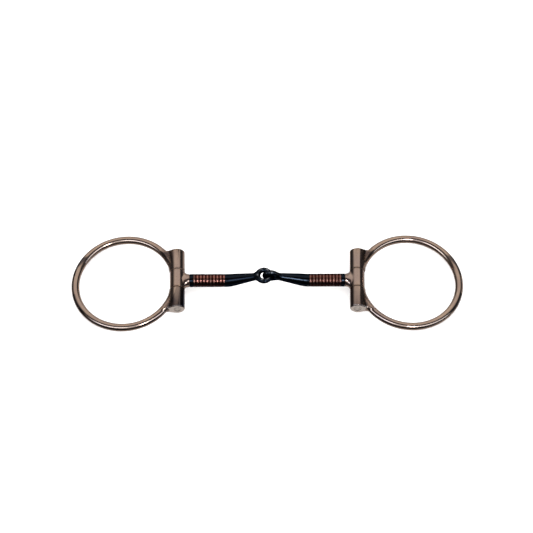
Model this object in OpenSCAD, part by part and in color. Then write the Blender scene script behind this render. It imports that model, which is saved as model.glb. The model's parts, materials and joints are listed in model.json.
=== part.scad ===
// Offset dee snaffle bit: two ring cheeks hinged to a jointed mouthpiece with copper inlay.
//
// Axes: X runs along the mouthpiece, Y along the cheek hinges, Z up from the ground.
// The origin is the middle of the bit at ground level. At rest the outer edges of the two
// rings touch the ground. Lengths are in millimetres and angles in degrees.

/* [Mouthpiece] */
// Width of the mouth, between the two hinge barrels
mouth_w = 127; // [114:1:140]
// Diameter of the bars beside the cheeks
bar_d = 10; // [9.4:0.1:11]
// Diameter of the bars where they run into their eyes
bar_tip_d = 5.2; // [4.8:0.1:6]
// Angle by which each bar bends up towards the tongue joint
bar_bend = 15.5; // [10:0.5:18]
// Radius of that bend, along the bar's centre line
bar_bend_r = 20; // [16:1:26]

/* [Tongue joint] */
// Outside diameter of the left bar's eye, which lies flat
left_eye_d = 13.8; // [13.4:0.1:14.4]
// Outside diameter of the right bar's eye, which stands upright
right_eye_d = 12.8; // [12.4:0.1:13.4]
// Thickness of both eyes
eye_wire_d = 4; // [3.6:0.1:4.1]
// Free play between the linked eyes
eye_play = 0.1; // [0.05:0.05:0.3]

/* [Copper inlay] */
// Number of copper bands on each bar
band_count = 10; // [4:1:10]
// Width of one band, along the bar
band_w = 1.3; // [0.8:0.1:1.6]
// Distance from one band to the next
band_pitch = 2.55; // [2.1:0.05:2.55]
// Thickness of a band, from the groove's floor to its face
band_t = 0.58; // [0.4:0.02:0.8]
// Distance from the hinge axis to the first band
first_band = 13; // [11.5:0.5:14]

/* [Ring cheeks] */
// Outside diameter of the rings
ring_d = 83.4; // [76:0.2:90]
// Diameter of the ring wire
ring_wire_d = 6; // [5:0.5:7]
// Distance from the hinge axis to the ring's centre
ring_offset = 40.5; // [36:0.5:44]
// Angle by which the rings hang below the mouthpiece at rest
ring_droop = 6.5; // [4:0.5:12]
// Thickness of the webs where they leave the ring
web_t = 5.2; // [4:0.2:5.4]
// Thickness of the webs at the barrels' ends, where they are thickest
web_root_t = 10.4; // [6:0.2:10.6]

/* [Hinges] */
// Diameter of the hinge barrels
barrel_d = 11.5; // [11:0.5:13]
// Length of a whole barrel, over its three knuckles
barrel_len = 51.2; // [46:0.2:54]
// Length of the middle knuckle, which belongs to the mouthpiece
knuckle_len = 15.6; // [14:0.2:18]
// Diameter of the hinge pin
pin_d = 5; // [4:0.5:5]
// Distance from the hinge axis to the end of the neck
neck_end = 9.4; // [9:0.1:10]

/* [Hidden] */
$fn = 96;

// Clearances between pieces.
knuckle_gap = 0.15;   // between knuckles, at each end of the middle one
running_gap = 0.06;   // radial, between the pin and the middle knuckle
seat_gap = 0.02;      // between pieces that are pressed or hammered together

// Hinges.
barrel_r = barrel_d / 2;
pin_r = pin_d / 2;
hinge_x = mouth_w / 2 + barrel_r;
slot_half = knuckle_len / 2 + knuckle_gap;
barrel_round = 1.2;   // radius of the barrels' rounded end edges
pin_chamfer = 0.4;
pin_inset = 0.1;      // the pin's ends sit this far inside the barrel's ends
neck_round = 4.5;     // radius of the flare where the neck meets the barrel
neck_flare = 60;      // how far round that radius the flare runs
neck_half_t = 5.2;    // half the neck's thickness, across the hinge

// Cheeks.
ring_r = (ring_d - ring_wire_d) / 2;
hinge_z = (ring_offset + ring_r) * sin(ring_droop) + ring_wire_d / 2;
web_reach = 12;       // the web ends this far from the hinge axis, inside the ring wire
web_inset = 0.4;      // the web's outer edge stops this far short of the barrel's end
slot_w = 2 * barrel_r + 5;

// Bars. The tenon fills the neck's socket.
bar_r = bar_d / 2;
tenon_r = 3;
socket_depth = 4.8;
bar_start = neck_end + seat_gap;
band_floor_r = bar_r - band_t;
band_proud = 0.04;    // how far a band's face stands above the bar
bend_start = first_band + (band_count - 1) * band_pitch + band_w / 2 + 0.7;

// Eyes. The bars' ends are level, and each eye's wire passes through the other's hole.
eye_wire_r = eye_wire_d / 2;
left_eye_r = (left_eye_d - eye_wire_d) / 2;
right_eye_r = (right_eye_d - eye_wire_d) / 2;
eye_gap = left_eye_r + right_eye_r - eye_wire_d - eye_play;
eye_x = hinge_x - eye_gap / 2;
bend_end_x = bend_start + bar_bend_r * sin(bar_bend);
bend_end_z = bar_bend_r * (1 - cos(bar_bend));
eye_z = bend_end_z + (eye_x - bend_end_x) * tan(bar_bend);
taper_len = (eye_x - bend_end_x) / cos(bar_bend);
taper_overlap = 0.1;  // the taper starts this far inside the bend

LEFT = -1;
RIGHT = 1;

STEEL = [0.52, 0.42, 0.35];
BLUED = [0.10, 0.11, 0.14];
COPPER = [0.76, 0.42, 0.28];

// Puts a half of the bit in place. Each half is drawn with its hinge axis on Y and with
// the mouthpiece towards +X, and the right half is the left one mirrored.
module place(side) {
    translate([side * hinge_x, 0, hinge_z])
        if (side == LEFT) children();
        else mirror([1, 0, 0]) children();
}

// A solid of revolution about X. Its profile holds points of (place along X, radius).
module turned(profile) {
    rotate([90, 0, 90]) rotate_extrude() polygon([for (p = profile) [p[1], p[0]]]);
}

// A solid of revolution about Y, from the same kind of profile.
module turned_y(profile) {
    rotate([-90, 0, 0]) rotate_extrude() polygon([for (p = profile) [p[1], p[0]]]);
}

module rod_y(r, len) {
    rotate([-90, 0, 0]) cylinder(r = r, h = len, center = true);
}

module torus(r, wire_r) {
    rotate_extrude() translate([r, 0]) circle(r = wire_r);
}

// Profile of a rod of length len about the origin, with its end edges rounded.
function rounded_rod(r, len, round_r) = concat(
    [[-len / 2, 0]],
    [for (a = [0:15:90])
        [-len / 2 + round_r * (1 - cos(a)), r - round_r * (1 - sin(a))]],
    [for (a = [90:-15:0])
        [len / 2 - round_r * (1 - cos(a)), r - round_r * (1 - sin(a))]],
    [[len / 2, 0]]
);

// The web that fills the corner between a barrel's end and the ring: a slice of a disc about
// the ring's centre, which thickens outwards from the ring wire to the barrel's end.
module web() {
    top = barrel_len / 2 - web_inset;
    corner_r = norm([ring_offset, barrel_len / 2]);
    intersection() {
        translate([-ring_offset, 0]) rotate_extrude() polygon([
            [ring_r, -web_t / 2], [corner_r, -web_root_t / 2],
            [corner_r, web_root_t / 2], [ring_r, web_t / 2]
        ]);
        translate([-web_reach, slot_half, -barrel_r])
            cube([web_reach, top - slot_half, barrel_d]);
    }
}

// Ring, webs and the two outer knuckles are one casting.
module cheek_ring() {
    color(STEEL) rotate([0, -ring_droop, 0]) difference() {
        union() {
            translate([-ring_offset, 0, 0]) torus(ring_r, ring_wire_d / 2);
            turned_y(rounded_rod(barrel_r, barrel_len, barrel_round));
            web();
            mirror([0, 1, 0]) web();
        }
        cube([slot_w, 2 * slot_half, slot_w], center = true);
        rod_y(pin_r, barrel_len + 1);
    }
}

// The pin is pressed into the cheek's knuckles and runs free in the middle one.
module hinge_pin() {
    half = barrel_len / 2 - pin_inset;
    r = pin_r - seat_gap / 2;
    color(STEEL) rotate([0, -ring_droop, 0]) turned_y([
        [-half, 0], [-half, r - pin_chamfer], [-half + pin_chamfer, r],
        [half - pin_chamfer, r], [half, r - pin_chamfer], [half, 0]
    ]);
}

// Middle knuckle with the neck that holds the bar.
module hinge_knuckle() {
    flare = [for (a = [0:10:neck_flare])
        [neck_end - neck_round * sin(a), bar_r + neck_round * (1 - cos(a))]];
    flare_end = flare[len(flare) - 1];
    color(STEEL) difference() {
        union() {
            rod_y(barrel_r, knuckle_len);
            intersection() {
                turned(concat([[neck_end, 0]], flare, [[0, flare_end[1]], [0, 0]]));
                cube([4 * barrel_d, knuckle_len - 0.4, 2 * neck_half_t], center = true);
            }
        }
        rod_y(pin_r + running_gap, knuckle_len + 1);
        turned([[neck_end - socket_depth, 0], [neck_end - socket_depth, tenon_r],
                [neck_end + 1, tenon_r], [neck_end + 1, 0]]);
    }
}

// Place of band i's middle, along the bar.
function band_x(i) = first_band + (i - 1) * band_pitch;

// The straight end of a bar, with its tenon and a groove for each copper band.
module bar_shank() {
    groove_r = band_floor_r - seat_gap;
    groove_half = band_w / 2 + seat_gap;
    grooves = [for (i = [1:band_count], p = [
        [-groove_half, bar_r], [-groove_half, groove_r],
        [groove_half, groove_r], [groove_half, bar_r]
    ]) [band_x(i) + p[0], p[1]]];
    tenon_end = neck_end - socket_depth + 0.2;
    turned(concat(
        [[tenon_end, 0], [tenon_end, tenon_r - seat_gap],
         [bar_start, tenon_r - seat_gap], [bar_start, bar_r]],
        grooves,
        [[bend_start, bar_r], [bend_start, 0]]
    ));
}

// The rest of a bar: the bend and the taper, up to the middle of the eye's wire. The taper
// starts a little inside the bend, and a little thinner, so that the two are one solid.
module bar_taper(eye_r) {
    translate([bend_start, 0, bar_bend_r]) rotate([0, 90, 0]) rotate([90, 0, 0])
        rotate_extrude(angle = bar_bend) translate([bar_bend_r, 0]) circle(r = bar_r);
    translate([bend_end_x, 0, bend_end_z]) rotate([0, 90 - bar_bend, 0])
        translate([0, 0, -taper_overlap])
        cylinder(r1 = bar_r - 0.01, r2 = bar_tip_d / 2, h = taper_len - eye_r + taper_overlap);
}

// The left bar's eye lies flat and the right bar's stands upright.
module mouth_bar(eye_r, upright) {
    color(BLUED) union() {
        bar_shank();
        bar_taper(eye_r);
        translate([eye_x, 0, eye_z])
            rotate([upright ? 90 : 0, 0, 0]) torus(eye_r, eye_wire_r);
    }
}

// A strip of copper hammered into its groove.
module copper_band(i) {
    face_r = bar_r + band_proud;
    color(COPPER) translate([band_x(i) - band_w / 2, 0, 0]) rotate([0, 90, 0]) difference() {
        cylinder(r = face_r, h = band_w);
        translate([0, 0, -1]) cylinder(r = band_floor_r, h = band_w + 2);
    }
}

place(LEFT) cheek_ring();  // left_cheek_ring
place(RIGHT) cheek_ring();  // right_cheek_ring
place(LEFT) hinge_pin();  // left_hinge_pin
place(RIGHT) hinge_pin();  // right_hinge_pin
place(LEFT) hinge_knuckle();  // left_hinge_knuckle
place(RIGHT) hinge_knuckle();  // right_hinge_knuckle
place(LEFT) mouth_bar(left_eye_r, false);  // left_mouth_bar
place(RIGHT) mouth_bar(right_eye_r, true);  // right_mouth_bar
for (i = [1:band_count]) {
    place(LEFT) copper_band(i);
    place(RIGHT) copper_band(i);
}
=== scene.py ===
import json
import math

import bpy
import numpy as np
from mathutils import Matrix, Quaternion, Vector

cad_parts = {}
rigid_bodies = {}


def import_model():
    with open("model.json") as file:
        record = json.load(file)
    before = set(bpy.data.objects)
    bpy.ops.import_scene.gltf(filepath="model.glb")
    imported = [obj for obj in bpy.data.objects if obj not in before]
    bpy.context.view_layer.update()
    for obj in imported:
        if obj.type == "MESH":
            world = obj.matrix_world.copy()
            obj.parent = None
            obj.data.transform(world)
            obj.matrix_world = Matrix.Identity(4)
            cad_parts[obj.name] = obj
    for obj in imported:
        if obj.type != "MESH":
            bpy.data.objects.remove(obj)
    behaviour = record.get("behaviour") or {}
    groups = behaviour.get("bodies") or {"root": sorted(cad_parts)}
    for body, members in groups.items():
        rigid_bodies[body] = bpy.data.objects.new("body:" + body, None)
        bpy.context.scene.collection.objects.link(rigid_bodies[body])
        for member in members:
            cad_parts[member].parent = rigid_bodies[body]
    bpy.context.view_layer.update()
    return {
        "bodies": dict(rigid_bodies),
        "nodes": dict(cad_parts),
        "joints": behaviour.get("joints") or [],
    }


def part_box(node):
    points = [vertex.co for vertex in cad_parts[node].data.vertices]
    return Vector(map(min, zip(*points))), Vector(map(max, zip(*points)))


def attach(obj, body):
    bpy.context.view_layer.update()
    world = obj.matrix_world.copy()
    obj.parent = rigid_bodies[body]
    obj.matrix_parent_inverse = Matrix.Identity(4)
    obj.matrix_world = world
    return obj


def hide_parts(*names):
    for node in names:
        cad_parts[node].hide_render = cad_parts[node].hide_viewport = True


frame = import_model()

# ------------------------------------------------------------ sizes, in millimetres
MM = 0.001
JOINTS = {j["name"]: j for j in frame["joints"]}


def in_mm(point):
    return np.array([float(c) for c in point]) / MM


def node_box(name):
    return tuple(in_mm(c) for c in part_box(name))


RING_LO, RING_HI = node_box("left_cheek_ring")
KNUCKLE_LO, KNUCKLE_HI = node_box("left_hinge_knuckle")
PIN_LO, PIN_HI = node_box("left_hinge_pin")
HINGE = in_mm(JOINTS["left_cheek_swing"]["pos_m"])
EYE_MID = in_mm(JOINTS["mouth_joint_fold"]["pos_m"])

# Cheeks, in a frame with the hinge axis on Y and the mouthpiece towards +X.
WIRE_R = 3.0
RING_R = (RING_HI[1] - RING_LO[1]) / 2 - WIRE_R
RING_FAR = HINGE[0] - RING_LO[0] - WIRE_R          # hinge to the wire's far side, level
DROOP = math.atan2(HINGE[2] - WIRE_R, RING_FAR)
RING_OFFSET = RING_FAR / math.cos(DROOP) - RING_R
BARREL_R = (KNUCKLE_HI[2] - KNUCKLE_LO[2]) / 2
BARREL_HALF = (PIN_HI[1] - PIN_LO[1]) / 2 + 0.1
KNUCKLE_HALF = (KNUCKLE_HI[1] - KNUCKLE_LO[1]) / 2
SLOT_HALF = KNUCKLE_HALF + 0.15
SLOT_R = 9.0               # how far the slot for the knuckle reaches from the hinge axis
SLOT_EDGE = 0.3
PIN_BORE = 2.5
KNUCKLE_BORE = 2.56
WEB_T = 5.2                # the gussets' thickness at the ring wire
WEB_SLOPE = 0.28           # how much thicker each side gets per mm outwards
WEB_REACH = 12.0
WEB_FILLET = 2.6
RING_FILLET = 1.8
BARREL_EDGE = 1.3

# Mouthpiece, in the same frame.
NECK_END = KNUCKLE_HI[0] - HINGE[0]
NECK_ROUND = 4.5
NECK_FLARE = 3.9
NECK_HALF_T = 5.05
NECK_WAIST = 0.75
NECK_FILLET = 1.0
KNUCKLE_EDGE = 0.3
NECK_EDGE = 0.5
SOCKET_END = 4.6
SOCKET_R = 3.0
BAR_R = 5.0
BEND_X = 37.3
BEND_R = 20.0
BEND = math.radians(15.5)
SHANK_END = 37.0
TAPER_START = 41.4
TAPER_SLOPE = 0.114
TAPER_SOFT = 1.5
EYE_WIRE_R = 2.0
EYE_THROAT = 1.2           # how far a bar's tip runs past its eye's wire
EYE_FILLET = 2.6
EYE_X = -EYE_MID[0] - HINGE[0]
EYE_Z = EYE_MID[2] - HINGE[2]
LEFT_EYE_R = node_box("left_mouth_bar")[1][1] - EYE_WIRE_R
RIGHT_EYE_R = node_box("right_mouth_bar")[1][2] - EYE_MID[2] - EYE_WIRE_R
BAND_R = BAR_R + 0.04
BAND_HALF = 0.65
BAND_CROWN = 0.09          # how much lower a band's edges are than its middle
BAND_FLOOR = 4.42          # radius of the grooves' floors
DENT = 0.008               # how deep the hammer's dents are, as a spread
SWAY = 0.05                # how far a band's middle wanders to one side
BANDS = range(1, 11)       # from the cheek inwards
GROOVE_HALF = 0.67
GROOVE_LIP = 0.07

# Mesh sizes.
SIDES = ("left", "right")
CHEEK_GRID = 0.5
SLOT_GRID = 0.2            # closer planes where the cheek and the knuckle meet
KNUCKLE_GRID = 0.33
BAR_GRID = 0.36
MARGIN = 1.0               # how far each grid runs past its shape
RELAX_ROUNDS = 4
TURN_STEPS = 96


# ------------------------------------------------------------ distance fields
def smooth_min(a, b, k):
    h = np.clip(0.5 + 0.5 * (b - a) / k, 0, 1)
    return b + (a - b) * h - k * h * (1 - h)


def smooth_max(a, b, k):
    return -smooth_min(-a, -b, k)


def torus(p, centre, r, wire_r, normal):
    """Distance to a ring whose plane is normal to axis 1 (Y) or 2 (Z)."""
    q = p - centre
    across = 3 - normal
    return np.hypot(np.hypot(q[..., 0], q[..., across]) - r, q[..., normal]) - wire_r


def gradient(f, p, step=0.01):
    out = np.empty_like(p)
    for axis in range(3):
        d = np.zeros(3)
        d[axis] = step
        out[:, axis] = (f(p + d) - f(p - d)) / (2 * step)
    return out


def project(f, p, rounds=4, limit=0.4):
    """Moves points onto the surface where f is zero."""
    for _ in range(rounds):
        g = gradient(f, p)
        move = f(p)[:, None] * g / np.maximum((g * g).sum(1), 0.05)[:, None]
        length = np.linalg.norm(move, axis=1, keepdims=True)
        p = p - move * np.minimum(1, limit / np.maximum(length, 1e-9))
    return p


def surface_net(f, xs, ys, zs):
    """Vertices and quads of the surface where f is zero, on a grid of planes."""
    grid = np.stack(np.meshgrid(xs, ys, zs, indexing="ij"), -1)
    value = np.stack([f(layer) for layer in grid])
    inside = value < 0
    shape = np.array(value.shape) - 1
    total = np.zeros(tuple(shape) + (3,))
    count = np.zeros(tuple(shape))
    crossings = []
    for axis in range(3):
        lo = tuple(slice(0, -1) if k == axis else slice(None) for k in range(3))
        hi = tuple(slice(1, None) if k == axis else slice(None) for k in range(3))
        crossed = inside[lo] != inside[hi]
        a, b = value[lo][crossed], value[hi][crossed]
        t = (a / (a - b))[:, None]
        points = grid[lo][crossed] * (1 - t) + grid[hi][crossed] * t
        at = np.argwhere(crossed)
        u, v = [k for k in range(3) if k != axis]
        cells = []
        for du, dv in ((1, 1), (0, 1), (0, 0), (1, 0)):
            cell = at.copy()
            cell[:, u] -= du
            cell[:, v] -= dv
            cells.append(cell)
            ok = np.all((cell >= 0) & (cell < shape), axis=1)
            np.add.at(total, tuple(cell[ok].T), points[ok])
            np.add.at(count, tuple(cell[ok].T), 1)
        crossings.append((axis, cells, inside[lo][crossed]))
    used = count > 0
    index = np.full(tuple(shape), -1)
    index[used] = np.arange(used.sum())
    quads = []
    for axis, cells, low_inside in crossings:
        ok = np.all([(c >= 0).all(1) & (c < shape).all(1) for c in cells], axis=0)
        ring = np.stack([index[tuple(c[ok].T)] for c in cells], 1)
        turn = low_inside[ok] == (axis == 1)
        ring[turn] = ring[turn][:, ::-1]
        quads.append(ring)
    return total[used] / count[used][:, None], np.concatenate(quads)


def relax(f, vertices, faces, fixed=None):
    """Evens out the spacing of the vertices and keeps them on the surface."""
    edges = np.concatenate([faces[:, [i, (i + 1) % 4]] for i in range(4)])
    for _ in range(RELAX_ROUNDS):
        total = np.zeros_like(vertices)
        count = np.zeros(len(vertices))
        for i in (0, 1):
            np.add.at(total, edges[:, i], vertices[edges[:, 1 - i]])
            np.add.at(count, edges[:, i], 1)
        moved = project(f, 0.5 * vertices + 0.5 * total / count[:, None], 2)
        vertices = moved if fixed is None else np.where(fixed[:, None], vertices, moved)
    return vertices


def planes(lo, hi, step, fine=()):
    """Evenly spaced grid planes, with closer ones inside each (low, high, step)."""
    lines = np.linspace(lo, hi, round((hi - lo) / step) + 1)
    for a, b, s in fine:
        lines = lines[(lines < a - s / 2) | (lines > b + s / 2)]
        lines = np.sort(np.append(lines, np.linspace(a, b, round((b - a) / s) + 1)))
    return lines


# ------------------------------------------------------------ cheeks
def ring(p):
    return torus(p, np.array([-RING_OFFSET, 0, 0]), RING_R, WIRE_R, 2)


def web(p):
    """The gussets between ring and barrel, which thicken outwards from the ring wire."""
    x = p[..., 0]
    from_ring = np.hypot(x + RING_OFFSET, p[..., 1]) - RING_R
    plan = np.maximum(np.maximum(-from_ring, x), -WEB_REACH - x)
    half_t = WEB_T / 2 + WEB_SLOPE * np.clip(from_ring, 0, 10)
    return np.maximum(plan, np.abs(p[..., 2]) - half_t)


def barrel_and_web(p, fillet):
    """The barrel and its gussets, which end in one flat face at each end."""
    round_part = np.hypot(p[..., 0], p[..., 2]) - BARREL_R
    side = smooth_min(round_part, web(p), fillet)
    return smooth_max(side, np.abs(p[..., 1]) - BARREL_HALF, BARREL_EDGE)


def cheek(p):
    body = smooth_min(barrel_and_web(p, WEB_FILLET), ring(p), RING_FILLET)
    from_axis = np.hypot(p[..., 0], p[..., 2])
    slot = np.minimum(SLOT_HALF - np.abs(p[..., 1]), SLOT_R - from_axis)
    return np.maximum(smooth_max(body, slot, SLOT_EDGE), PIN_BORE - from_axis)


# ------------------------------------------------------------ middle knuckles
def neck(p):
    """The neck: round where it meets the bar, then wider and flatter towards the knuckle."""
    reach = np.clip(NECK_END - p[..., 0], 0, NECK_FLARE)
    half_w = BAR_R + NECK_ROUND - np.sqrt(NECK_ROUND ** 2 - reach ** 2)
    half_t = NECK_HALF_T - NECK_WAIST * np.sin(math.pi / 2 * reach / NECK_FLARE) ** 2
    section = np.hypot(p[..., 1] * half_t / half_w, p[..., 2]) - half_t
    return np.maximum(section, -p[..., 0])


def knuckle(p):
    from_axis = np.hypot(p[..., 0], p[..., 2])
    from_bar_axis = np.hypot(p[..., 1], p[..., 2])
    body = smooth_min(from_axis - BARREL_R, neck(p), NECK_FILLET)
    body = smooth_max(body, np.abs(p[..., 1]) - KNUCKLE_HALF, KNUCKLE_EDGE)
    body = smooth_max(body, p[..., 0] - NECK_END, NECK_EDGE)
    socket = np.maximum(from_bar_axis - SOCKET_R, SOCKET_END - p[..., 0])
    return np.maximum(np.maximum(body, KNUCKLE_BORE - from_axis), -socket)


# ------------------------------------------------------------ bars
def bar_radius(x):
    """A bar's radius at a distance x from the hinge axis."""
    return BAR_R - TAPER_SLOPE * TAPER_SOFT * np.logaddexp(0, (x - TAPER_START) / TAPER_SOFT)


def bar_field(eye_r, normal):
    """Distance to the bend, the taper and the eye of a bar."""
    end = np.array([BEND_X + BEND_R * math.sin(BEND), BEND_R * (1 - math.cos(BEND))])
    along = np.array([math.cos(BEND), math.sin(BEND)])
    tip = (EYE_X - end[0]) / math.cos(BEND) - eye_r + EYE_THROAT
    centre = np.array([EYE_X, 0, EYE_Z])

    def field(p):
        x, z = p[..., 0], p[..., 2]
        dx, dz = x - end[0], z - end[1]
        past = dx * along[0] + dz * along[1]
        off = np.where(
            x < BEND_X, z,
            np.where(past < 0, BEND_R - np.hypot(x - BEND_X, BEND_R - z),
                     dz * along[0] - dx * along[1]))
        shaft = np.hypot(off, p[..., 1]) - bar_radius(x)
        shaft = smooth_max(shaft, past - tip, 0.5)
        return smooth_min(shaft, torus(p, centre, eye_r, EYE_WIRE_R, normal), EYE_FILLET)

    return field


def band_centre(side, i):
    lo, hi = node_box(f"{side}_copper_band_{i}")
    return abs((lo[0] + hi[0]) / 2 - side_sign(side) * -HINGE[0])


def side_sign(side):
    return -1 if side == "left" else 1


def shank_profile(centres):
    """(distance, radius) along the straight end of a bar, with its tenon and grooves."""
    half, lip = GROOVE_HALF, GROOVE_LIP
    profile = [(SOCKET_END + 0.2, SOCKET_R - 0.02),
               (NECK_END + 0.02, SOCKET_R - 0.02), (NECK_END + 0.02, BAR_R - 0.35),
               (NECK_END + 0.12, BAR_R - 0.12), (NECK_END + 0.37, BAR_R)]
    for c in centres:
        profile += [(c - half - lip, BAR_R), (c - half, BAR_R - lip), (c - half, BAND_FLOOR),
                    (c + half, BAND_FLOOR), (c + half, BAR_R - lip), (c + half + lip, BAR_R)]
    return profile + [(SHANK_END - 0.3, BAR_R)]


def turned(profile):
    """Vertices and quads of a surface of revolution about X, open at its first and last rings."""
    steps = TURN_STEPS
    angles = np.arange(steps) * 2 * math.pi / steps
    rings = [np.stack([np.full(steps, x), r * np.cos(angles), r * np.sin(angles)], 1)
             for x, r in profile]
    quads = []
    for k in range(len(profile) - 1):
        a = k * steps + np.arange(steps)
        b = k * steps + (np.arange(steps) + 1) % steps
        quads.append(np.stack([a, b, b + steps, a + steps], 1))
    return np.concatenate(rings), np.concatenate(quads)


def open_loop(faces):
    """The vertices on a mesh's open edge."""
    edges = np.concatenate([faces[:, [i, (i + 1) % 4]] for i in range(4)])
    key = np.sort(edges, 1)
    unique, times = np.unique(key, axis=0, return_counts=True)
    return np.unique(unique[times == 1])


def zip_rings(vertices, near, far):
    """Triangles that join two rings about X; both go round in order of their angle."""
    def ordered(ids):
        angle = np.arctan2(vertices[ids, 2], vertices[ids, 1]) % (2 * math.pi)
        order = np.argsort(angle)
        return list(ids[order]), list(angle[order])

    a, ta = ordered(near)
    b, tb = ordered(far)
    a, ta = a + a[:1], ta + [ta[0] + 2 * math.pi]
    b, tb = b + b[:1], tb + [tb[0] + 2 * math.pi]
    triangles, i, j = [], 0, 0
    while i < len(a) - 1 or j < len(b) - 1:
        step_a = j == len(b) - 1 or (i < len(a) - 1 and ta[i + 1] < tb[j + 1])
        if step_a:
            triangles.append((a[i], a[i + 1], b[j]))
            i += 1
        else:
            triangles.append((a[i], b[j + 1], b[j]))
            j += 1
    return triangles


def bar_mesh(side):
    """A bar: the straight end is turned, and the bend, taper and eye are zipped to it."""
    eye_r, normal = (LEFT_EYE_R, 2) if side == "left" else (RIGHT_EYE_R, 1)
    field = bar_field(eye_r, normal)
    reach = eye_r + EYE_WIRE_R + MARGIN
    half_y = max(BAR_R + 0.7, reach if normal == 2 else 0)   # no plane touches the eye's side
    top = EYE_Z + (reach if normal == 1 else EYE_WIRE_R + MARGIN)
    points, quads = surface_net(
        field, planes(SHANK_END, EYE_X + reach, BAR_GRID), planes(-half_y, half_y, BAR_GRID),
        planes(-BAR_R - 0.6, top, BAR_GRID))
    edge = open_loop(quads)
    fixed = np.zeros(len(points), bool)
    fixed[edge] = True
    points = project(field, points)
    points[edge, 0] = SHANK_END
    radial = np.hypot(points[edge, 1], points[edge, 2])[:, None]
    points[edge, 1:] *= BAR_R / radial
    points = relax(field, points, quads, fixed)
    centres = sorted(band_centre(side, i) for i in BANDS)
    shank, shank_quads = turned(shank_profile(centres))
    vertices = np.concatenate([shank, points])
    last = np.arange(len(shank) - TURN_STEPS, len(shank))
    joined = zip_rings(vertices, last, edge + len(shank))
    faces = [tuple(range(TURN_STEPS))[::-1]] + [tuple(q) for q in shank_quads]
    faces += [tuple(q) for q in quads + len(shank)] + joined
    return vertices, faces


def band_mesh(rng):
    """One hammered copper band, centred on the origin, about X."""
    flat = np.linspace(-1, 1, 9)
    outer = [(BAND_HALF * t, BAND_R - BAND_CROWN * t ** 4) for t in flat]
    inner_r = BAND_FLOOR + 0.02
    profile = [(-BAND_HALF, inner_r)] + outer + [(BAND_HALF, inner_r)]
    vertices, quads = turned(profile + profile[:1])
    count = len(profile) * TURN_STEPS
    quads = np.where(quads >= count, quads - count, quads)
    vertices = vertices[:count].reshape(len(profile), TURN_STEPS, 3)
    angle = np.arange(TURN_STEPS) * 2 * math.pi / TURN_STEPS
    dents = sum(rng.normal(0, DENT) * np.cos(k * angle + rng.uniform(0, 6.28))
                for k in range(2, 14))
    sway = SWAY * np.cos(angle + rng.uniform(0, 6.28)) * rng.uniform(0, 1)
    for k in range(1, len(profile) - 1):
        middle = 1 - flat[k - 1] ** 2
        scale = 1 - (np.maximum(dents, 0) * middle) / BAND_R
        vertices[k, :, 1:] *= scale[:, None]
        vertices[k, :, 0] += sway * middle
    return vertices.reshape(-1, 3), [tuple(q) for q in quads]


# ------------------------------------------------------------ pieces
def place(side, points, droop=0.0):
    """From the hinge's own frame to the row frame, in mm; droop lowers the ring's far side."""
    x = points[:, 0] * math.cos(droop) - points[:, 2] * math.sin(droop)
    z = points[:, 0] * math.sin(droop) + points[:, 2] * math.cos(droop)
    out = np.stack([x + HINGE[0], points[:, 1], z + HINGE[2]], 1)
    if side == "right":
        out[:, 0] *= -1
    return out


def add_piece(name, side, points, faces, node, body, material, droop=0.0, smooth=40):
    """A visual piece that takes a CAD node's place; edges sharper than smooth stay sharp."""
    placed = place(side, points, droop) * MM
    if side == "right":
        faces = [tuple(reversed(f)) for f in faces]
    mesh = bpy.data.meshes.new(name)
    mesh.from_pydata(placed.tolist(), [], [[int(i) for i in f] for f in faces])
    mesh.validate()
    mesh.shade_smooth()
    mesh.set_sharp_from_angle(angle=math.radians(smooth))
    mesh.materials.append(material)
    obj = bpy.data.objects.new(name, mesh)
    bpy.context.scene.collection.objects.link(obj)
    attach(obj, body)
    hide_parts(node)
    return obj


def set_attribute(obj, name, values):
    attribute = obj.data.attributes.new(name, "FLOAT", "POINT")
    attribute.data.foreach_set("value", np.asarray(values, np.float32))


def cheek_patina(p):
    """How dark each point's patina is: in the valleys and beside the knuckle joints."""
    sharp = np.minimum(barrel_and_web(p, 0.1), ring(p))
    filled = smooth_min(barrel_and_web(p, WEB_FILLET), ring(p), RING_FILLET)
    valley = np.clip((sharp - filled) / 0.5, 0, 1)
    near_axis = np.hypot(p[:, 0], p[:, 2]) < SLOT_R
    joint = np.exp(-np.maximum(np.abs(p[:, 1]) - SLOT_HALF, 0) / 0.55) * near_axis
    return np.clip(0.6 * valley ** 1.5 + joint, 0, 1)


def cheek_bluing_and_shade(p, strength):
    """Painted dark blue in the gussets and down the near knuckle: heat bluing together with painted
    shade and dark reflections.
    """
    x, y = p[:, 0], p[:, 1]
    from_ring = np.hypot(x + RING_OFFSET, y) - RING_R
    start = np.interp(y, (14, 21), (0.3, -2.0))
    outer = np.clip((from_ring - start) / 1.4, 0, 1)
    gusset = outer * np.clip((-2.5 - x) / 2.5, 0, 1) * np.clip((BARREL_HALF - np.abs(y)) / 2, 0, 1)
    along = np.clip((-y - SLOT_HALF) / (BARREL_HALF - SLOT_HALF), 0, 1)
    flank_shade = np.clip(x / BARREL_R, -0.5, 1) ** 2
    near = np.clip(0.34 + 0.34 * along + 0.6 * flank_shade, 0, 1) * (along > 0) * (from_ring > 2.4)
    on_top = np.clip(p[:, 2] / 1.5, 0, 1) * (1 - ground_end(p))
    return on_top * np.maximum(0.7 * gusset * (np.abs(y) > SLOT_HALF), strength * near)


def ground_end(p):
    """1 on the barrel's flat ends, which are ground bright; their lighter colour also paints in the
    floor's reflection.
    """
    from_ring = np.hypot(p[:, 0] + RING_OFFSET, p[:, 1]) - RING_R
    in_web = np.clip((from_ring - 2.4) / 0.8, 0, 1) * (np.abs(p[:, 1]) < BARREL_HALF + 0.05)
    return in_web * np.clip((np.abs(p[:, 1]) - BARREL_HALF + 0.7) / 0.6, 0, 1)


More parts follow.
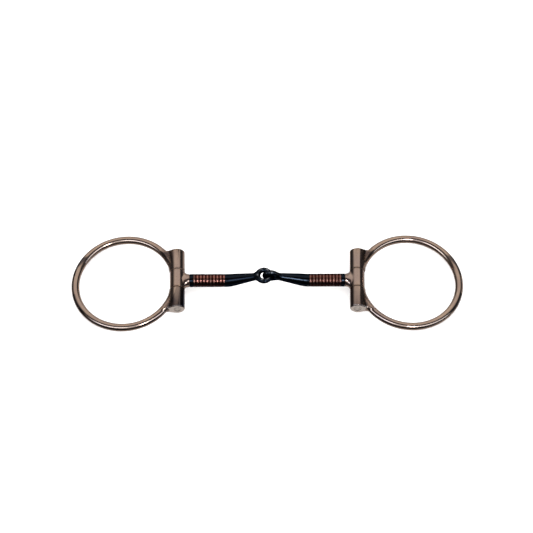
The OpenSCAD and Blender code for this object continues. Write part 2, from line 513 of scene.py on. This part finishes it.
def knuckle_patina(p):
    joint = np.exp(-np.maximum(KNUCKLE_HALF - np.abs(p[:, 1]), 0) / 0.55)
    end = np.exp(-np.maximum(NECK_END - p[:, 0], 0) / 0.5) * (p[:, 0] > NECK_END - 3)
    return np.clip(joint + 0.8 * end, 0, 1)


# ------------------------------------------------------------ materials
class Nodes:
    """Short names for building a node tree."""

    def __init__(self, tree):
        self.tree = tree
        tree.nodes.clear()

    def add(self, kind, inputs=(), **settings):
        node = self.tree.nodes.new(kind)
        for key, value in settings.items():
            setattr(node, key, value)
        for key, value in dict(inputs).items():
            self.put(node.inputs[key], value)
        return node

    def put(self, socket, value):
        if isinstance(value, bpy.types.NodeSocket):
            self.tree.links.new(value, socket)
        else:
            socket.default_value = value

    def math(self, operation, a, b=0.0, c=0.0, clamp=False):
        node = self.add("ShaderNodeMath", {0: a, 1: b, 2: c}, operation=operation)
        node.use_clamp = clamp
        return node.outputs[0]

    def ramp(self, value, low, high, to_low=0.0, to_high=1.0, smooth=False):
        kind = "SMOOTHSTEP" if smooth else "LINEAR"
        node = self.add("ShaderNodeMapRange", {
            "Value": value, "From Min": low, "From Max": high,
            "To Min": to_low, "To Max": to_high}, interpolation_type=kind)
        return node.outputs[0]

    def mix(self, share, a, b):
        node = self.add("ShaderNodeMix", {0: share, 6: a, 7: b}, data_type="RGBA")
        return node.outputs[2]

    def noise(self, scale, detail=2.0, rough=0.5, stretch=None):
        vector = self.add("ShaderNodeTexCoord").outputs["Object"]
        if stretch:
            vector = self.add("ShaderNodeMapping", {0: vector, 3: stretch}).outputs[0]
        node = self.add("ShaderNodeTexNoise", {
            "Vector": vector, "Scale": scale, "Detail": detail, "Roughness": rough})
        return node.outputs["Fac"]

    def attribute(self, name):
        return self.add("ShaderNodeAttribute", attribute_name=name).outputs["Fac"]


def new_material(name):
    material = bpy.data.materials.new(name)
    material.use_nodes = True
    return material, Nodes(material.node_tree)


def surface(n, colour, metallic, roughness, normal=None, **extra):
    inputs = {"Base Color": colour, "Metallic": metallic, "Roughness": roughness}
    inputs.update({k.replace("_", " "): v for k, v in extra.items()})
    if normal is not None:
        inputs["Normal"] = normal
    shader = n.add("ShaderNodeBsdfPrincipled", inputs)
    n.add("ShaderNodeOutputMaterial", {"Surface": shader.outputs[0]})


def bump(n, height, distance):
    """A normal for relief of this depth, in mm."""
    inputs = {"Height": height, "Distance": distance * MM, "Strength": 1.0}
    return n.add("ShaderNodeBump", inputs).outputs[0]


def antique_steel():
    """Polished steel under a brown antique finish, dark in the crevices, with heat bluing and
    painted blue shade.
    """
    material, n = new_material("antique_steel")
    cloud = n.noise(90, 3, 0.6)
    fine = n.noise(900, 3, 0.6)
    speck = n.ramp(n.noise(1500, 1), 0.66, 0.74)
    patina = n.attribute("patina")
    worn = n.math("MULTIPLY", patina, n.ramp(fine, 0.3, 0.6, 0.6, 1.0))
    colour = n.mix(n.ramp(cloud, 0.35, 0.65), (0.50, 0.37, 0.285, 1), (0.42, 0.305, 0.25, 1))
    tint = n.ramp(n.noise(28, 1), 0.52, 0.66, 0, 0.35)
    colour = n.mix(tint, colour, (0.31, 0.235, 0.235, 1))
    # Ground ends: a lighter steel that also stands in for a painted reflection of the floor.
    colour = n.mix(n.attribute("ground"), colour, (0.72, 0.63, 0.56, 1))
    colour = n.mix(n.math("MULTIPLY", speck, 0.35), colour, (0.16, 0.09, 0.06, 1))
    # Heat bluing together with painted shade: browner, then navy, in the gussets and on the near
    # knuckle's top and sides.
    blue = n.math("MULTIPLY", n.attribute("bluing_and_shade"), n.ramp(cloud, 0.3, 0.7, 0.85, 1.05))
    colour = n.mix(n.ramp(blue, 0, 0.65), colour, (0.15, 0.115, 0.10, 1))
    colour = n.mix(n.ramp(blue, 0.5, 1.0), colour, (0.022, 0.024, 0.045, 1))
    stain = n.mix(n.ramp(n.noise(1100, 1), 0.48, 0.6), (0.04, 0.03, 0.025, 1), (0.26, 0.13, 0.06, 1))
    colour = n.mix(worn, colour, stain)
    rough = n.ramp(cloud, 0.3, 0.7, 0.08, 0.13)
    rough = n.math("ADD", rough, n.math("MULTIPLY", worn, 0.3))
    scratches = n.noise(500, 2, 0.7, stretch=(1, 0.08, 1))
    height = n.math("ADD", n.noise(350, 2), n.math("MULTIPLY", scratches, 0.3))
    surface(n, colour, 1.0, rough, bump(n, height, 0.012))
    return material


def painted_eye_glint(side, p):
    """Painted glints on the eyes: lighter spots on the left one's flat crest and the right one's
    top, where the lamp would glint.
    """
    x, y, z = p[:, 0] - EYE_X, p[:, 1], p[:, 2] - EYE_Z
    if side == "left":
        off_crest = np.abs(np.hypot(x, y) - LEFT_EYE_R)
        return (z > 0) * np.clip(1.4 - off_crest / 0.5, 0, 1) * np.clip((z - 1.2) / 0.5, 0, 1)
    above = np.clip((np.hypot(x, z) - RIGHT_EYE_R - 1.2) / 0.5, 0, 1)
    return above * np.clip(1.5 - np.abs(y + 0.7) / 0.6, 0, 1) * (z > 2)


def blued_iron():
    """Sweet iron, blued nearly black; between the bands it is painted red-brown."""
    material, n = new_material("blued_iron")
    cloud = n.noise(140, 3, 0.6)
    colour = n.mix(n.ramp(cloud, 0.35, 0.65), (0.009, 0.0135, 0.021, 1), (0.014, 0.018, 0.025, 1))
    # The iron between the bands is painted red-brown.
    band_gap_red = n.math("MULTIPLY", n.attribute("band_gap_red"), n.ramp(n.noise(600, 2), 0.3, 0.65, 0.5, 1))
    colour = n.mix(n.ramp(band_gap_red, 0, 0.4), colour, (0.055, 0.010, 0.007, 1))
    colour = n.mix(n.ramp(band_gap_red, 0.4, 0.9), colour, (0.15, 0.055, 0.042, 1))
    # Painted glints: the eyes' crests turn light grey to stand in for highlights.
    eye_glint = n.math("MULTIPLY", n.attribute("eye_glint"), n.ramp(n.noise(450, 2), 0.42, 0.58))
    colour = n.mix(eye_glint, colour, (0.28, 0.29, 0.31, 1))
    rough = n.ramp(cloud, 0.3, 0.7, 0.12, 0.2)
    polish = n.noise(700, 2, 0.7, stretch=(0.1, 1, 1))
    surface(n, colour, 1.0, rough, bump(n, polish, 0.008), Specular_Tint=(0.25, 0.28, 0.33, 1))
    return material


def copper():
    """Hammered copper: bright on top; painted shade makes it black down its flanks and dark
    red-brown at its edges.
    """
    material, n = new_material("copper")
    cloud = n.noise(260, 3, 0.6)
    tarnish = n.math("ADD", n.attribute("tarnish"), n.ramp(cloud, 0.3, 0.75, -0.12, 0.22),
                     clamp=True)
    flank_shade = n.math("ADD", n.attribute("flank_shade"), n.ramp(cloud, 0.3, 0.7, -0.15, 0.15), clamp=True)
    colour = n.mix(tarnish, (0.39, 0.165, 0.13, 1), (0.165, 0.095, 0.075, 1))
    # Painted shade: darker red-brown at the bands' edges, where they dip into the grooves.
    colour = n.mix(n.attribute("edge"), colour, (0.09, 0.014, 0.008, 1))
    # Painted shade: the bands go near black down their flanks, away from the lit strip on top.
    colour = n.mix(flank_shade, colour, (0.02, 0.013, 0.014, 1))
    rough = n.ramp(tarnish, 0, 1, 0.26, 0.42)
    surface(n, colour, 1.0, rough, bump(n, n.noise(800, 2), 0.01))
    return material


def pin_steel():
    """The pins' ground ends, flush with the barrels."""
    material, n = new_material("pin_steel")
    grind = n.noise(1200, 2, 0.7, stretch=(1, 1, 0.1))
    colour = n.mix(n.ramp(grind, 0.3, 0.7), (0.62, 0.54, 0.48, 1), (0.72, 0.63, 0.56, 1))
    surface(n, colour, 1.0, n.ramp(grind, 0.3, 0.7, 0.25, 0.4), bump(n, grind, 0.01))
    return material


# ------------------------------------------------------------ build the bit
STEEL, IRON, COPPER, PIN = antique_steel(), blued_iron(), copper(), pin_steel()
# How tarnished each band is, from the cheek inwards.
TARNISH = {
    "left": (0.85, 0.05, 0.0, 0.0, 0.15, 0.8, 0.2, 0.1, 0.05, 0.05),
    "right": (0.6, 0.7, 0.75, 0.5, 0.7, 0.65, 0.75, 0.85, 0.85, 0.6),
}
BLUING_AND_SHADE = {"left": 1.0, "right": 0.45}       # heat bluing and painted blue shade on each near knuckle
BAND_GAP_RED = {"left": 0.45, "right": 0.6}        # how red-brown the iron between the bands is painted
LIT_STRIP_TILT = 15.0                            # the bands' painted lit strip leans this far to the front; beyond it they are painted dark
HAMMER_SEED = 7


def build_cheeks():
    fine = ((SLOT_HALF - 0.6, SLOT_HALF + 0.6, SLOT_GRID),)
    fine += tuple((-b, -a, s) for a, b, s in fine)
    far, half = RING_OFFSET + RING_R + WIRE_R + MARGIN, BARREL_R + MARGIN
    points, quads = surface_net(
        cheek, planes(-far, half, CHEEK_GRID),
        planes(-RING_R - WIRE_R - MARGIN, RING_R + WIRE_R + MARGIN, CHEEK_GRID, fine),
        planes(-half, half, CHEEK_GRID))
    points = relax(cheek, project(cheek, points), quads)
    patina, ground = cheek_patina(points), ground_end(points)
    for side in SIDES:
        obj = add_piece(f"{side}_ring_casting", side, points, [tuple(q) for q in quads],
                        f"{side}_cheek_ring", f"{side}_cheek", STEEL, DROOP)
        set_attribute(obj, "patina", patina)
        # heat bluing and painted blue shade
        set_attribute(obj, "bluing_and_shade", cheek_bluing_and_shade(points, BLUING_AND_SHADE[side]))
        # ground bright ends, painted lighter to stand in for the floor's reflection
        set_attribute(obj, "ground", ground)


def build_knuckles():
    half = BARREL_R + MARGIN
    points, quads = surface_net(
        knuckle, planes(-half, NECK_END + MARGIN, KNUCKLE_GRID),
        planes(-KNUCKLE_HALF - MARGIN, KNUCKLE_HALF + MARGIN, KNUCKLE_GRID),
        planes(-half, half, KNUCKLE_GRID))
    points = relax(knuckle, project(knuckle, points), quads)
    patina = knuckle_patina(points)
    for side in SIDES:
        obj = add_piece(f"{side}_neck_casting", side, points, [tuple(q) for q in quads],
                        f"{side}_hinge_knuckle", f"{side}_mouth_half", STEEL)
        set_attribute(obj, "patina", patina)


def build_bars():
    first_band, last_band = band_centre("left", BANDS[0]), band_centre("left", BANDS[-1])
    for side in SIDES:
        points, faces = bar_mesh(side)
        obj = add_piece(f"{side}_iron_bar", side, points, faces,
                        f"{side}_mouth_bar", f"{side}_mouth_half", IRON)
        # the iron between the first and the last band is painted red-brown
        near_bands = (points[:, 0] > first_band) & (points[:, 0] < last_band)
        set_attribute(obj, "band_gap_red", near_bands * BAND_GAP_RED[side])
        # painted glints on the eyes
        set_attribute(obj, "eye_glint", painted_eye_glint(side, points))


def build_bands():
    rng = np.random.default_rng(HAMMER_SEED)
    for side in SIDES:
        for i in BANDS:
            points, faces = band_mesh(rng)
            off_middle = np.abs(points[:, 0]) / BAND_HALF
            turn = np.degrees(np.arctan2(-points[:, 1], points[:, 2]))
            off_lit_strip = np.abs(turn - LIT_STRIP_TILT)
            points = points + np.array([band_centre(side, i), 0, 0])
            obj = add_piece(f"{side}_copper_inlay_{i}", side, points, faces,
                            f"{side}_copper_band_{i}", f"{side}_mouth_half", COPPER,
                            smooth=60)
            set_attribute(obj, "tarnish", np.full(len(points), TARNISH[side][i - 1]))
            # painted shade at the bands' edges and down their flanks
            set_attribute(obj, "edge", np.clip((off_middle - 0.7) / 0.25, 0, 1))
            set_attribute(obj, "flank_shade", np.clip((off_lit_strip - 26) / 20, 0, 1))


def paint_pins():
    for side in SIDES:
        mesh = frame["nodes"][f"{side}_hinge_pin"].data
        mesh.materials.clear()
        mesh.materials.append(PIN)


# ------------------------------------------------------------ studio
SENSOR = 36.0
VIEW_WIDTH = 410.5          # width of the picture, measured at the bit
CAMERA_ELEVATION = math.radians(60)
CAMERA_ROLL = math.radians(-0.22)
CAMERA_DISTANCE = 8000.0
AIM_LEFT, AIM_UP = 0.55, 10.63      # from the mouthpiece's middle to the picture's middle
MARKERS = 12                # points round each ring and barrel that the floor stays under
FLOOR_HALF = 6.0            # metres
FLOOR_LIGHT = (2.1, 2.08, 2.07, 1)
LAMP_PLACE = (0.25, -0.5, 1.6)
LAMP_SIZE, LAMP_WATTS = 1.2, 3.0


def build_floor():
    material, n = new_material("floor")
    grain = n.noise(60, 2)
    colour = n.mix(grain, (0.93, 0.925, 0.925, 1), (0.95, 0.945, 0.945, 1))
    surface(n, colour, 0.0, 0.9)
    mesh = bpy.data.meshes.new("floor")
    far, z = FLOOR_HALF, -WIRE_R * MM       # the markers are a wire's radius above it
    corners = [(-far, -far, z), (far, -far, z), (far, far, z), (-far, far, z)]
    mesh.from_pydata(corners, [], [(0, 1, 2, 3)])
    mesh.materials.append(material)
    floor = bpy.data.objects.new("floor", mesh)
    bpy.context.scene.collection.objects.link(floor)
    floor.visible_glossy = False
    follow_lowest(floor)


def low_points():
    """Points in the middle of the left ring's wire, and as deep inside its barrel, in mm."""
    for i in range(MARKERS):
        angle = 2 * math.pi * i / MARKERS
        out = RING_OFFSET + RING_R * math.cos(angle)
        yield (HINGE[0] - out * math.cos(DROOP), RING_R * math.sin(angle),
               HINGE[2] - out * math.sin(DROOP))
        deep = BARREL_R - WIRE_R
        yield HINGE[0] + deep * math.sin(angle), 0.0, HINGE[2] - deep * math.cos(angle)


def add_markers():
    """Empties at the low points of both cheeks, which move with the cheeks."""
    markers = []
    for side in SIDES:
        body = frame["bodies"][f"{side}_cheek"]
        for x, y, z in low_points():
            marker = bpy.data.objects.new(f"{side}_marker", None)
            bpy.context.scene.collection.objects.link(marker)
            marker.parent = body
            marker.location = (-side_sign(side) * x * MM, y * MM, z * MM)
            markers.append(marker)
    return markers


def follow_lowest(floor):
    """Drops the floor so that it stays under whatever the joints swing lowest."""
    driver = floor.driver_add("location", 2).driver
    driver.type = "MIN"
    for i, marker in enumerate(add_markers()):
        variable = driver.variables.new()
        variable.name = f"low_{i}"
        variable.type = "TRANSFORMS"
        target = variable.targets[0]
        target.id = marker
        target.transform_type = "LOC_Z"
        target.transform_space = "WORLD_SPACE"


def strip(n, value, low, high, soft):
    """1 between low and high, falling to 0 over soft at each side; angles in degrees."""
    low, high, half = (math.radians(v) for v in (low, high, soft / 2))
    rise = n.ramp(value, low - half, low + half, smooth=True)
    fall = n.ramp(value, high - half, high + half, 1.0, 0.0, smooth=True)
    return n.math("MULTIPLY", rise, fall)


def dark_horizon(n, x, y, height):
    """The dark band along the room's horizon: higher to the right, softer to the left."""
    low = n.math("MULTIPLY_ADD", x, math.radians(14), math.radians(-22))
    low = n.math("MULTIPLY_ADD", y, math.radians(9), low)
    high = n.ramp(x, -0.8, 0.8, math.radians(12), math.radians(37))
    fade = n.ramp(x, -0.8, 0.0, math.radians(40), math.radians(11))
    above = n.ramp(n.math("SUBTRACT", height, low), math.radians(-4), math.radians(4), smooth=True)
    below = n.ramp(n.math("SUBTRACT", height, high), 0.0, fade, 1.0, 0.0, smooth=True)
    ahead = n.ramp(y, 0.62, 0.86, 1.0, 0.35, smooth=True)
    return n.math("MULTIPLY", n.math("MULTIPLY", above, below), ahead)


def strip_lamp(n, x, tilt):
    """How much of the strip lamp is seen, and its colour: dim in the middle, one hot spot."""
    seen = n.math("MULTIPLY", strip(n, tilt, 30, 42, 5), n.ramp(x, -0.95, -0.7, smooth=True))
    seen = n.math("MULTIPLY", seen, n.ramp(x, 0.88, 0.97, 1.0, 0.0, smooth=True))
    left = n.ramp(x, -0.22, -0.08, 3.4, 0.0, smooth=True)
    right = n.ramp(x, 0.08, 0.35, 0.0, 2.5, smooth=True)
    spot = n.math("MULTIPLY", n.ramp(x, 0.12, 0.20), n.ramp(x, 0.24, 0.34, 26.0, 0.0))
    bright = n.math("ADD", n.math("ADD", left, right), n.math("ADD", spot, 1.7))
    tint = n.mix(n.ramp(spot, 0, 20), (0.85, 1.0, 1.2, 1), (1.0, 1.0, 1.0, 1))
    glow = n.add("ShaderNodeVectorMath", {0: tint, "Scale": bright}, operation="SCALE")
    return seen, glow.outputs[0]


def studio_light(n):
    """What the metal mirrors: a pale room, a strip lamp, and dark bands beside it."""
    direction = n.add("ShaderNodeTexCoord").outputs["Generated"]
    x, y, z = n.add("ShaderNodeSeparateXYZ", {0: direction}).outputs
    tilt = n.math("ARCTAN2", n.math("MULTIPLY", y, -1.0), z)     # overhead 0, front 90
    height = n.math("ARCSINE", z)
    room = n.mix(n.ramp(tilt, math.radians(-50), math.radians(20)),
                 (0.95, 0.92, 0.89, 1), (0.62, 0.60, 0.59, 1))
    room = n.mix(n.ramp(height, math.radians(30), math.radians(-20)), room,
                 (0.56, 0.55, 0.55, 1))
    line = n.math("MULTIPLY", strip(n, tilt, -13, 20, 10), 0.95)
    room = n.mix(line, room, (0.035, 0.03, 0.035, 1))
    room = n.mix(n.math("MULTIPLY", dark_horizon(n, x, y, height), 0.97), room,
                 (0.015, 0.016, 0.022, 1))
    seen, glow = strip_lamp(n, x, tilt)
    return n.mix(seen, room, glow)


def build_world():
    """Even white light for the floor, and a studio that only reflections see."""
    world = bpy.data.worlds.new("studio")
    world.use_nodes = True
    n = Nodes(world.node_tree)
    path = n.add("ShaderNodeLightPath")
    colour = n.mix(path.outputs["Is Glossy Ray"], FLOOR_LIGHT, studio_light(n))
    background = n.add("ShaderNodeBackground", {"Color": colour, "Strength": 1.0})
    n.add("ShaderNodeOutputWorld", {"Surface": background.outputs[0]})
    bpy.context.scene.world = world


def build_lamp():
    lamp = bpy.data.lights.new("softbox", "AREA")
    lamp.energy = LAMP_WATTS
    lamp.size = LAMP_SIZE
    obj = bpy.data.objects.new("softbox", lamp)
    obj.location = LAMP_PLACE
    obj.rotation_euler = (-obj.location).to_track_quat("-Z", "Y").to_euler()
    obj.visible_glossy = False
    bpy.context.scene.collection.objects.link(obj)


def build_camera():
    data = bpy.data.cameras.new("camera")
    data.sensor_width = SENSOR
    data.lens = SENSOR * CAMERA_DISTANCE / VIEW_WIDTH
    data.clip_start, data.clip_end = 1, 20
    camera = bpy.data.objects.new("camera", data)
    back = Vector((0, -math.cos(CAMERA_ELEVATION), math.sin(CAMERA_ELEVATION)))
    up = Vector((0, math.sin(CAMERA_ELEVATION), math.cos(CAMERA_ELEVATION)))
    right = Vector((1, 0, 0))
    aim = Vector((0, 0, HINGE[2])) - right * AIM_LEFT + up * AIM_UP
    camera.location = (aim + back * CAMERA_DISTANCE) * MM
    facing = (-back).to_track_quat("-Z", "Y")
    camera.rotation_euler = (facing @ Quaternion((0, 0, 1), CAMERA_ROLL)).to_euler()
    bpy.context.scene.collection.objects.link(camera)
    bpy.context.scene.camera = camera


build_cheeks()
build_knuckles()
build_bars()
build_bands()
paint_pins()
build_floor()
build_world()
build_lamp()
build_camera()
bpy.context.scene.view_settings.view_transform = "Standard"
